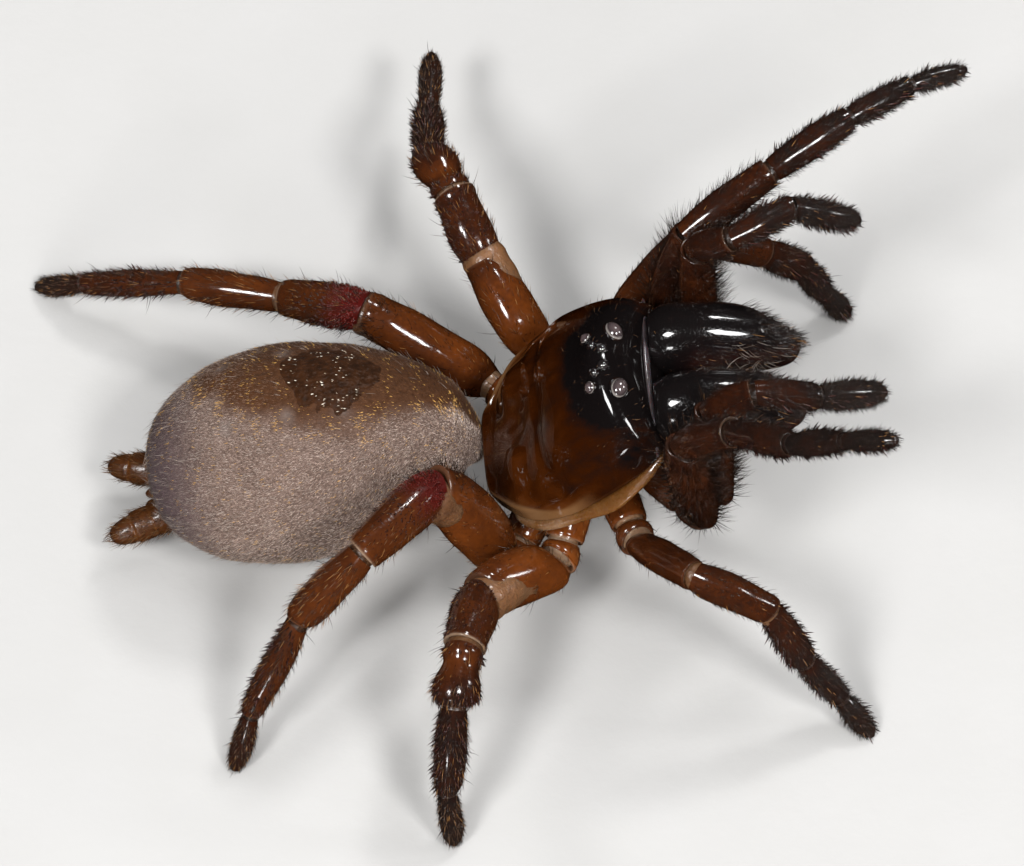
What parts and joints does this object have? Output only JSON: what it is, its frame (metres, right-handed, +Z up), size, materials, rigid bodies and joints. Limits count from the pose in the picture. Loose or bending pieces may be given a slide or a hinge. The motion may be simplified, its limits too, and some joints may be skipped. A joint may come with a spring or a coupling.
{
  "type": "trapdoor spider",
  "caption": "Life-size still model of a trapdoor spider with an oval hairy abdomen, glossy front body and raised front legs.",
  "frame": {"origin": "on the floor, under the middle of the whole spider's box", "axes": "+X towards the head, +Y to the spider's left, +Z up"},
  "size_m": [0.0252, 0.0234, 0.0142],
  "materials": {
    "carapace": "smooth glossy dark chestnut shell",
    "sternum": "smooth amber brown shell",
    "abdomen": "velvety taupe skin under short fine hair",
    "spinnerets": "translucent amber",
    "chelicerae": "polished black shell",
    "eyes": "clear glassy lens",
    "legs": "glossy chestnut shell, darker towards the feet"
  },
  "bodies": {
    "root": {"carapace": "carapace", "sternum": "sternum", "pedicel": "sternum", "abdomen": "abdomen", "spinneret_left": "spinnerets", "spinneret_right": "spinnerets", "chelicera_left": "chelicerae", "chelicera_right": "chelicerae", "fang_left": "chelicerae", "fang_right": "chelicerae", "eye_front_side_left": "eyes", "eye_front_side_right": "eyes", "eye_front_middle_left": "eyes", "eye_front_middle_right": "eyes", "eye_back_side_left": "eyes", "eye_back_side_right": "eyes", "eye_back_middle_left": "eyes", "eye_back_middle_right": "eyes", "palp_left": "legs", "palp_right": "legs", "leg_1_left": "legs", "leg_1_right": "legs", "leg_2_left": "legs", "leg_2_right": "legs", "leg_3_left": "legs", "leg_3_right": "legs", "leg_4_left": "legs", "leg_4_right": "legs"}
  },
  "joints": []
}
